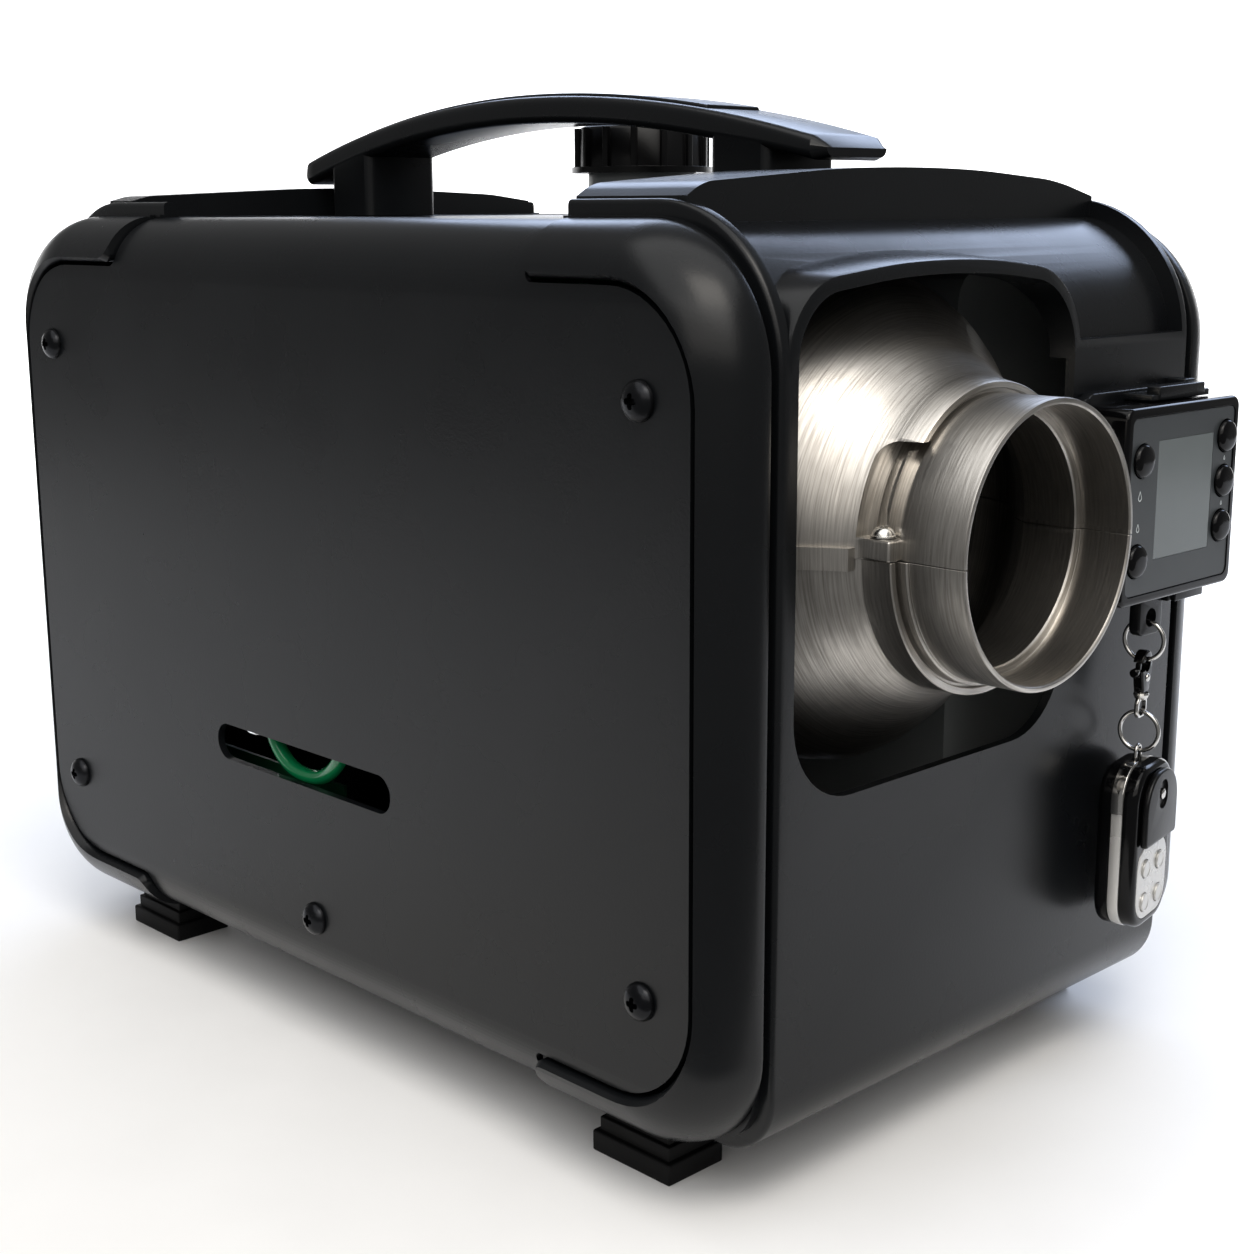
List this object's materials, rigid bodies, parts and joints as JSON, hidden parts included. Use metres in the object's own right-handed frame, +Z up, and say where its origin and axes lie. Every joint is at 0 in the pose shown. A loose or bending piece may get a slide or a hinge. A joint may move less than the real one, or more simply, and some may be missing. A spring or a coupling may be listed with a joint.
{
  "type": "portable diesel air heater",
  "caption": "Portable air heater in a black carry case with a handle, round warm-air outlet, wall controller, fuel filler cap and a hanging key-fob remote.",
  "frame": {"origin": "on the floor, at the centre of the four feet, which is the bottom centre of the overall box", "axes": "+X out of the warm-air outlet, -Y out of the slotted side panel, +Z up"},
  "size_m": [0.494, 0.2773, 0.3553],
  "materials": {
    "case_black": "fine moulded texture",
    "gloss_black": "smooth",
    "rubber_black": "matte",
    "screw_black": "blackened",
    "tank_plastic": "blow-moulded",
    "clear_plastic": "clear",
    "hose_green": "smooth",
    "board_green": "lacquered",
    "cast_aluminium": "die cast, fettled",
    "steel": "plain",
    "plated_steel": "nickel plated",
    "silver_plastic": "metallised, satin",
    "grey_screen": "unlit display"
  },
  "bodies": {
    "case": {"front_cap": "case_black", "rear_cap": "case_black", "side_panel_near": "case_black", "side_panel_far": "case_black", "top_deck": "case_black", "base_tray": "case_black", "foot_front_near": "rubber_black", "foot_front_far": "rubber_black", "foot_rear_near": "rubber_black", "foot_rear_far": "rubber_black", "carry_handle": "case_black", "handle_grip": "gloss_black", "panel_screw_1": "screw_black", "panel_screw_2": "screw_black", "panel_screw_3": "screw_black", "panel_screw_4": "screw_black", "panel_screw_5": "screw_black", "fuel_tank": "tank_plastic", "fuel_filter": "clear_plastic", "fuel_line": "hose_green", "fuel_pump": "steel", "control_board": "board_green", "heater_casing": "case_black", "heat_exchanger": "cast_aluminium", "burner_tube": "steel", "glow_plug": "steel", "blower_motor": "steel", "outlet_hood_upper": "cast_aluminium", "outlet_hood_lower": "cast_aluminium", "hood_screw": "steel", "exhaust_pipe": "steel", "intake_pipe": "gloss_black", "inlet_grille": "case_black", "power_socket": "gloss_black", "controller_cradle": "case_black", "controller_body": "gloss_black", "controller_screen": "grey_screen"},
    "seal": {"cap_gasket": "rubber_black"},
    "cap": {"filler_cap": "gloss_black"},
    "rotor": {"main_fan": "case_black", "combustion_fan": "cast_aluminium"},
    "menu_button": {"button_menu": "gloss_black"},
    "down_button": {"button_down": "gloss_black"},
    "power_button": {"button_power": "gloss_black"},
    "ok_button": {"button_ok": "gloss_black"},
    "up_button": {"button_up": "gloss_black"},
    "upper_ring": {"key_ring_upper": "plated_steel"},
    "clasp": {"clasp_hook": "gloss_black"},
    "gate": {"clasp_gate": "gloss_black"},
    "swivel": {"clasp_swivel": "plated_steel"},
    "lower_ring": {"key_ring_lower": "plated_steel"},
    "link": {"chain_link": "plated_steel"},
    "fob": {"fob_case": "gloss_black", "fob_band": "silver_plastic", "fob_plate": "silver_plastic"},
    "cover": {"fob_cover": "gloss_black"},
    "fob_key_a": {"fob_button_a": "silver_plastic"},
    "fob_key_b": {"fob_button_b": "silver_plastic"},
    "fob_key_c": {"fob_button_c": "silver_plastic"},
    "fob_key_d": {"fob_button_d": "silver_plastic"}
  },
  "joints": [
    {"name": "cap_lift", "type": "slide", "parent": "case", "child": "seal", "axis": [0, 0, 1], "range_m": [0, 0.0081]},
    {"name": "cap_turn", "type": "hinge", "parent": "seal", "child": "cap", "pos_m": [-0.0157, 0.054, 0.336], "axis": [0, 0, 1], "range_deg": [0, 720]},
    {"name": "fan_spin", "type": "hinge", "parent": "case", "child": "rotor", "pos_m": [-0.129, -0.03, 0.211], "axis": [1, 0, 0], "continuous": true},
    {"name": "menu_press", "type": "slide", "parent": "case", "child": "menu_button", "axis": [-1, 0, 0], "range_m": [0, 0.0009], "stiffness_N_per_m": 400},
    {"name": "down_press", "type": "slide", "parent": "case", "child": "down_button", "axis": [-1, 0, 0], "range_m": [0, 0.0009], "stiffness_N_per_m": 400},
    {"name": "power_press", "type": "slide", "parent": "case", "child": "power_button", "axis": [-1, 0, 0], "range_m": [0, 0.0009], "stiffness_N_per_m": 400},
    {"name": "ok_press", "type": "slide", "parent": "case", "child": "ok_button", "axis": [-1, 0, 0], "range_m": [0, 0.0009], "stiffness_N_per_m": 400},
    {"name": "up_press", "type": "slide", "parent": "case", "child": "up_button", "axis": [-1, 0, 0], "range_m": [0, 0.0009], "stiffness_N_per_m": 400},
    {"name": "ring_swing", "type": "hinge", "parent": "case", "child": "upper_ring", "pos_m": [0.22, 0.072, 0.1685], "axis": [1, 0, 0], "range_deg": [-15, 15]},
    {"name": "clasp_swing", "type": "hinge", "parent": "upper_ring", "child": "clasp", "pos_m": [0.22, 0.072, 0.1541], "axis": [1, 0, 0], "range_deg": [-15, 15]},
    {"name": "gate_slide", "type": "slide", "parent": "clasp", "child": "gate", "axis": [0, 0, -1], "range_m": [0, 0.003], "stiffness_N_per_m": 120},
    {"name": "swivel_turn", "type": "hinge", "parent": "clasp", "child": "swivel", "pos_m": [0.22, 0.072, 0.141], "axis": [0, 0, -1], "range_deg": [-3, 24]},
    {"name": "lower_ring_swing", "type": "hinge", "parent": "swivel", "child": "lower_ring", "pos_m": [0.22, 0.072, 0.134], "axis": [1, 0, 0], "range_deg": [-15, 15]},
    {"name": "link_swing", "type": "hinge", "parent": "lower_ring", "child": "link", "pos_m": [0.22, 0.072, 0.1207], "axis": [1, 0, 0], "range_deg": [-15, 15]},
    {"name": "fob_swing", "type": "hinge", "parent": "link", "child": "fob", "pos_m": [0.22, 0.072, 0.1149], "axis": [1, 0, 0], "range_deg": [-15, 15]},
    {"name": "cover_slide", "type": "slide", "parent": "fob", "child": "cover", "axis": [0, 0, -1], "range_m": [0, 0.024]},
    {"name": "fob_press_a", "type": "slide", "parent": "fob", "child": "fob_key_a", "axis": [-0.9848, -0.1736, 0], "range_m": [0, 0.0006], "stiffness_N_per_m": 300},
    {"name": "fob_press_b", "type": "slide", "parent": "fob", "child": "fob_key_b", "axis": [-0.9848, -0.1736, 0], "range_m": [0, 0.0006], "stiffness_N_per_m": 300},
    {"name": "fob_press_c", "type": "slide", "parent": "fob", "child": "fob_key_c", "axis": [-0.9848, -0.1736, 0], "range_m": [0, 0.0006], "stiffness_N_per_m": 300},
    {"name": "fob_press_d", "type": "slide", "parent": "fob", "child": "fob_key_d", "axis": [-0.9848, -0.1736, 0], "range_m": [0, 0.0006], "stiffness_N_per_m": 300}
  ],
  "couplings": [
    {"joint": "cap_lift", "follows": "cap_turn", "m_per_rad": 0.00063662}
  ]
}
